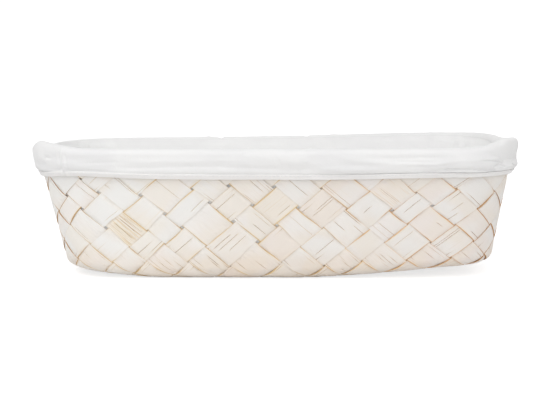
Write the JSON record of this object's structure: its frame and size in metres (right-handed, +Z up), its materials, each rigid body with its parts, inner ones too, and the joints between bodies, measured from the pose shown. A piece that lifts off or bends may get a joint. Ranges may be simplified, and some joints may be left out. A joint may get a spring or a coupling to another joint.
{
  "type": "lined bamboo tray",
  "caption": "Long low tray plaited diagonally from flat whitewashed bamboo slats, with a loose white cotton lining folded over the rim as a hemmed cuff.",
  "frame": {"origin": "centre of the whole tray's footprint, on the surface it stands on", "axes": "+X along the long sides, +Z up out of the tray's mouth; the pictured long side faces -Y"},
  "size_m": [0.4046, 0.1966, 0.1067],
  "materials": {
    "pale_bamboo": "thin matt whitewash over split bamboo",
    "plain_bamboo": "unpainted split bamboo",
    "cotton": "plain white cotton cloth, soft and matt"
  },
  "bodies": {
    "basket": {"right_slat_01": "pale_bamboo", "left_slat_01": "pale_bamboo", "right_slat_02": "pale_bamboo", "left_slat_02": "pale_bamboo", "right_slat_03": "pale_bamboo", "left_slat_03": "pale_bamboo", "right_slat_04": "pale_bamboo", "left_slat_04": "pale_bamboo", "right_slat_05": "pale_bamboo", "left_slat_05": "pale_bamboo", "right_slat_06": "pale_bamboo", "left_slat_06": "pale_bamboo", "right_slat_07": "pale_bamboo", "left_slat_07": "pale_bamboo", "right_slat_08": "pale_bamboo", "left_slat_08": "pale_bamboo", "right_slat_09": "pale_bamboo", "left_slat_09": "pale_bamboo", "right_slat_10": "pale_bamboo", "left_slat_10": "pale_bamboo", "right_slat_11": "pale_bamboo", "left_slat_11": "pale_bamboo", "right_slat_12": "pale_bamboo", "left_slat_12": "pale_bamboo", "right_slat_13": "pale_bamboo", "left_slat_13": "pale_bamboo", "right_slat_14": "pale_bamboo", "left_slat_14": "pale_bamboo", "rim_outer_hoop": "plain_bamboo", "rim_inner_hoop": "plain_bamboo", "rim_peg_01": "plain_bamboo", "rim_peg_02": "plain_bamboo", "rim_peg_03": "plain_bamboo", "rim_peg_04": "plain_bamboo", "rim_peg_05": "plain_bamboo", "rim_peg_06": "plain_bamboo", "rim_peg_07": "plain_bamboo", "rim_peg_08": "plain_bamboo", "rim_peg_09": "plain_bamboo", "rim_peg_10": "plain_bamboo"},
    "liner": {"liner_floor": "cotton", "liner_wall_front": "cotton", "liner_wall_right": "cotton", "liner_wall_back": "cotton", "liner_wall_left": "cotton", "liner_cuff": "cotton", "liner_hem": "cotton"}
  },
  "joints": [
    {"name": "liner_lift", "type": "slide", "parent": "basket", "child": "liner", "axis": [0, 0, 1], "range_m": [0, 0.11], "deforming": ["liner_cuff", "liner_hem"]}
  ]
}
